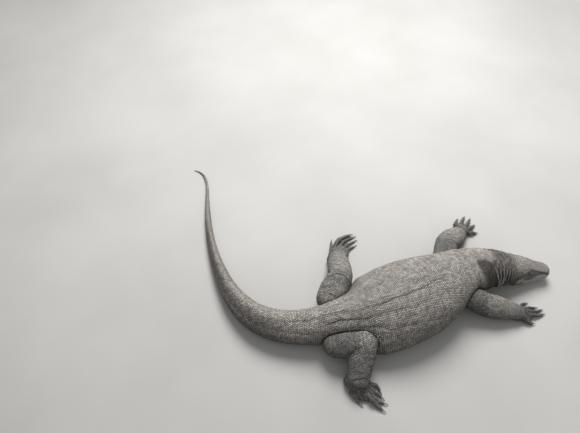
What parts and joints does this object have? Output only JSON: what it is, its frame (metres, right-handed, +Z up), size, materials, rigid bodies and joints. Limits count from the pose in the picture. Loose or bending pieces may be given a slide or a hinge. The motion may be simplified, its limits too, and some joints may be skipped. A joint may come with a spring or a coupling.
{
  "type": "komodo dragon",
  "caption": "Life-size adult monitor lizard lying flat on its belly with legs spread and the long tail swept round to one side.",
  "frame": {"origin": "on the ground, under the centre of the whole animal's bounding box", "axes": "+Z up, +X the way the head points, +Y towards the animal's left"},
  "size_m": [1.7798, 1.314, 0.247],
  "materials": {
    "body_skin": "dusty matte beaded scales",
    "limb_skin": "dusty matte beaded scales",
    "head_skin": "matte small scales",
    "eye": "wet gloss",
    "claw": "worn satin horn"
  },
  "bodies": {
    "root": {"head": "head_skin", "lower_jaw": "head_skin", "eye_left": "eye", "eye_right": "eye", "neck": "body_skin", "trunk": "body_skin", "tail_root": "body_skin", "tail_upper": "body_skin", "tail_middle": "body_skin", "tail_lower": "body_skin", "tail_tip": "body_skin", "hind_right_upper": "limb_skin", "hind_right_lower": "limb_skin", "hind_right_foot": "limb_skin", "hind_right_claw_1": "claw", "hind_right_claw_2": "claw", "hind_right_claw_3": "claw", "hind_right_claw_4": "claw", "hind_right_claw_5": "claw", "hind_left_upper": "limb_skin", "hind_left_lower": "limb_skin", "hind_left_foot": "limb_skin", "hind_left_claw_1": "claw", "hind_left_claw_2": "claw", "hind_left_claw_3": "claw", "hind_left_claw_4": "claw", "hind_left_claw_5": "claw", "fore_right_upper": "limb_skin", "fore_right_lower": "limb_skin", "fore_right_foot": "limb_skin", "fore_right_claw_1": "claw", "fore_right_claw_2": "claw", "fore_right_claw_3": "claw", "fore_right_claw_4": "claw", "fore_right_claw_5": "claw", "fore_left_upper": "limb_skin", "fore_left_lower": "limb_skin", "fore_left_foot": "limb_skin", "fore_left_claw_1": "claw", "fore_left_claw_2": "claw", "fore_left_claw_3": "claw", "fore_left_claw_4": "claw", "fore_left_claw_5": "claw"}
  },
  "joints": []
}
